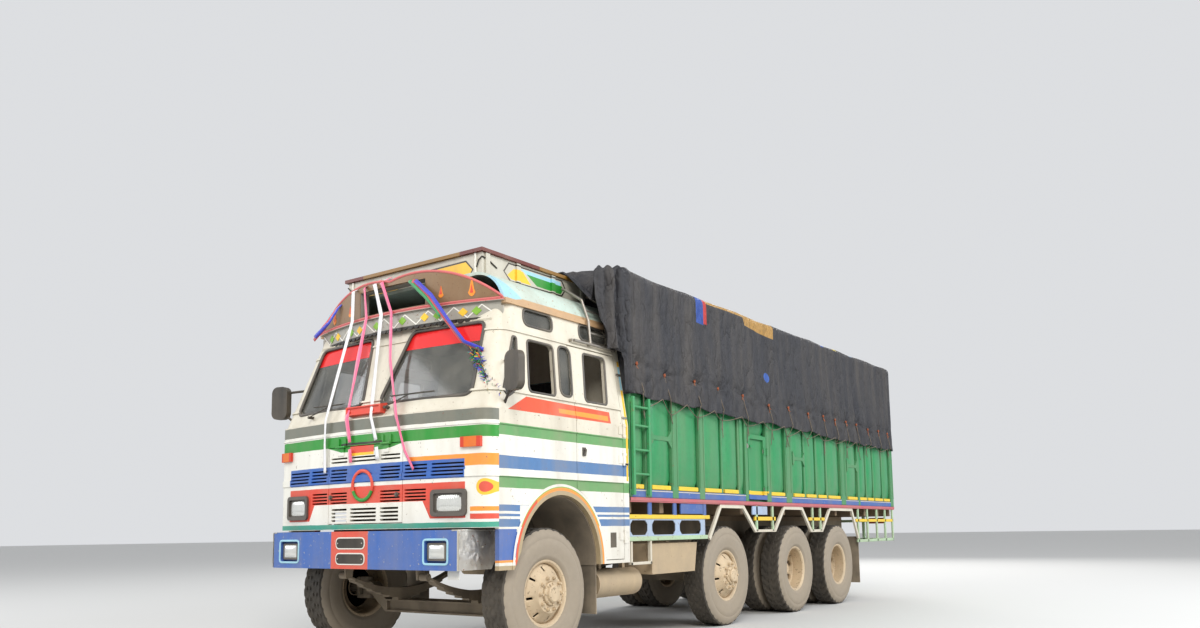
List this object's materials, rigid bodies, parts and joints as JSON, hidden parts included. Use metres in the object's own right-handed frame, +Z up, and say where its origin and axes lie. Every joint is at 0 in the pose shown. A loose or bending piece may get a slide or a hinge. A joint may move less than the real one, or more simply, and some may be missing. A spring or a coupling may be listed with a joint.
{
  "type": "decorated four-axle haulage truck",
  "caption": "Forward-control haulage truck with a painted cab under a roof crown, a high-sided timber and steel load body under a cloth sheet, and turning, steering and opening pieces.",
  "frame": {"origin": "middle of the whole length and width at road level", "axes": "+X forward along the truck, +Y to its left side, +Z up"},
  "size_m": [9.42, 3.0046, 3.4997],
  "materials": {
    "cab_paint": "satin",
    "blue_paint": "satin",
    "green_paint": "satin",
    "grey_green_paint": "worn",
    "dusty_steel": "worn",
    "bare_steel": "worn",
    "crown_paint": "satin",
    "visor_paint": "satin",
    "dark_steel": "dusty",
    "rim_paint": "worn",
    "tyre_rubber": "dusty",
    "rubber": "matt",
    "sheet_cloth": "matt",
    "boards": "worn",
    "glass": "clear",
    "lamp_plastic": "clear",
    "plastic": "matt",
    "seat_cover": "worn"
  },
  "bodies": {
    "truck": {"cab_front": "cab_paint", "cab_sides": "cab_paint", "cab_rear_wall": "cab_paint", "cab_roof": "cab_paint", "cab_floor": "dusty_steel", "windows": "glass", "lamps": "lamp_plastic", "crown": "crown_paint", "visor": "visor_paint", "bumper": "blue_paint", "front_scoop": "crown_paint", "mirrors": "plastic", "wipers": "plastic", "roof_rack": "bare_steel", "seats": "seat_cover", "dashboard": "plastic", "steering_wheel": "plastic", "arch_liners": "dusty_steel", "leaf_springs": "dark_steel", "chassis_frame": "dusty_steel", "front_axle": "dark_steel", "rear_axles": "dark_steel", "driveline": "dark_steel", "tanks": "rim_paint", "load_deck": "boards", "body_walls": "green_paint", "stake_rack": "dusty_steel", "load_sheet": "sheet_cloth", "ladders": "bare_steel", "side_frames": "grey_green_paint", "mudflaps": "rubber", "spare_tyre": "tyre_rubber", "spare_rim": "rim_paint"},
    "door_left": {"door_left": "cab_paint"},
    "door_right": {"door_right": "cab_paint"},
    "grille_flap": {"grille_flap": "cab_paint"},
    "access_door_left": {"access_door_left": "green_paint"},
    "access_door_right": {"access_door_right": "green_paint"},
    "tailgate": {"tailgate": "green_paint"},
    "knuckle_left": {"knuckle_left": "dark_steel"},
    "knuckle_right": {"knuckle_right": "dark_steel"},
    "tie_rod": {"tie_rod": "dark_steel"},
    "wheel_steer_left": {"tyre_steer_left": "tyre_rubber", "rim_steer_left": "rim_paint"},
    "wheel_steer_right": {"tyre_steer_right": "tyre_rubber", "rim_steer_right": "rim_paint"},
    "wheel_pusher_left": {"tyre_pusher_left": "tyre_rubber", "rim_pusher_left": "rim_paint"},
    "wheel_pusher_right": {"tyre_pusher_right": "tyre_rubber", "rim_pusher_right": "rim_paint"},
    "wheel_drive_left": {"tyre_drive_left": "tyre_rubber", "rim_drive_left": "rim_paint"},
    "wheel_drive_right": {"tyre_drive_right": "tyre_rubber", "rim_drive_right": "rim_paint"},
    "wheel_rear_left": {"tyre_rear_left": "tyre_rubber", "rim_rear_left": "rim_paint"},
    "wheel_rear_right": {"tyre_rear_right": "tyre_rubber", "rim_rear_right": "rim_paint"}
  },
  "joints": [
    {"name": "steer_left", "type": "hinge", "parent": "truck", "child": "knuckle_left", "pos_m": [3.8, 0.93, 0.522], "axis": [0, 0, 1], "range_deg": [-32, 32]},
    {"name": "steer_right", "type": "hinge", "parent": "truck", "child": "knuckle_right", "pos_m": [3.8, -0.93, 0.522], "axis": [0, 0, 1], "range_deg": [-32, 32]},
    {"name": "tie_rod_end", "type": "hinge", "parent": "knuckle_left", "child": "tie_rod", "pos_m": [3.61, 0.93, 0.409], "axis": [0, 0, 1], "range_deg": [-33, 33]},
    {"name": "spin_steer_left", "type": "hinge", "parent": "knuckle_left", "child": "wheel_steer_left", "pos_m": [3.8, 1.071, 0.522], "axis": [0, 1, 0], "continuous": true},
    {"name": "spin_steer_right", "type": "hinge", "parent": "knuckle_right", "child": "wheel_steer_right", "pos_m": [3.8, -1.071, 0.522], "axis": [0, 1, 0], "continuous": true},
    {"name": "spin_pusher_left", "type": "hinge", "parent": "truck", "child": "wheel_pusher_left", "pos_m": [0.743, 1.071, 0.522], "axis": [0, 1, 0], "continuous": true},
    {"name": "spin_pusher_right", "type": "hinge", "parent": "truck", "child": "wheel_pusher_right", "pos_m": [0.743, -1.071, 0.522], "axis": [0, 1, 0], "continuous": true},
    {"name": "spin_drive_left", "type": "hinge", "parent": "truck", "child": "wheel_drive_left", "pos_m": [-1.046, 0.9155, 0.522], "axis": [0, 1, 0], "continuous": true},
    {"name": "spin_drive_right", "type": "hinge", "parent": "truck", "child": "wheel_drive_right", "pos_m": [-1.046, -0.9155, 0.522], "axis": [0, 1, 0], "continuous": true},
    {"name": "spin_rear_left", "type": "hinge", "parent": "truck", "child": "wheel_rear_left", "pos_m": [-2.44, 0.9155, 0.522], "axis": [0, 1, 0], "continuous": true},
    {"name": "spin_rear_right", "type": "hinge", "parent": "truck", "child": "wheel_rear_right", "pos_m": [-2.44, -0.9155, 0.522], "axis": [0, 1, 0], "continuous": true},
    {"name": "cab_door_left", "type": "hinge", "parent": "truck", "child": "door_left", "pos_m": [2.783, 1.2665, 1.64], "axis": [0, 0, 1], "range_deg": [0, 75]},
    {"name": "cab_door_right", "type": "hinge", "parent": "truck", "child": "door_right", "pos_m": [2.783, -1.2665, 1.64], "axis": [0, 0, -1], "range_deg": [0, 75]},
    {"name": "grille_lift", "type": "hinge", "parent": "truck", "child": "grille_flap", "pos_m": [4.6755, 0, 1.725], "axis": [0, -1, 0], "range_deg": [0, 75]},
    {"name": "side_door_left", "type": "hinge", "parent": "truck", "child": "access_door_left", "pos_m": [-0.182, 1.2635, 1.7], "axis": [0, 0, 1], "range_deg": [0, 100]},
    {"name": "side_door_right", "type": "hinge", "parent": "truck", "child": "access_door_right", "pos_m": [-0.182, -1.2635, 1.7], "axis": [0, 0, -1], "range_deg": [0, 100]},
    {"name": "tailgate_drop", "type": "hinge", "parent": "truck", "child": "tailgate", "pos_m": [-4.6945, 0, 1.314], "axis": [0, -1, 0], "range_deg": [0, 90]}
  ],
  "couplings": [
    {"joint": "steer_right", "follows": "steer_left", "ratio": 1},
    {"joint": "tie_rod_end", "follows": "steer_left", "ratio": -1}
  ]
}
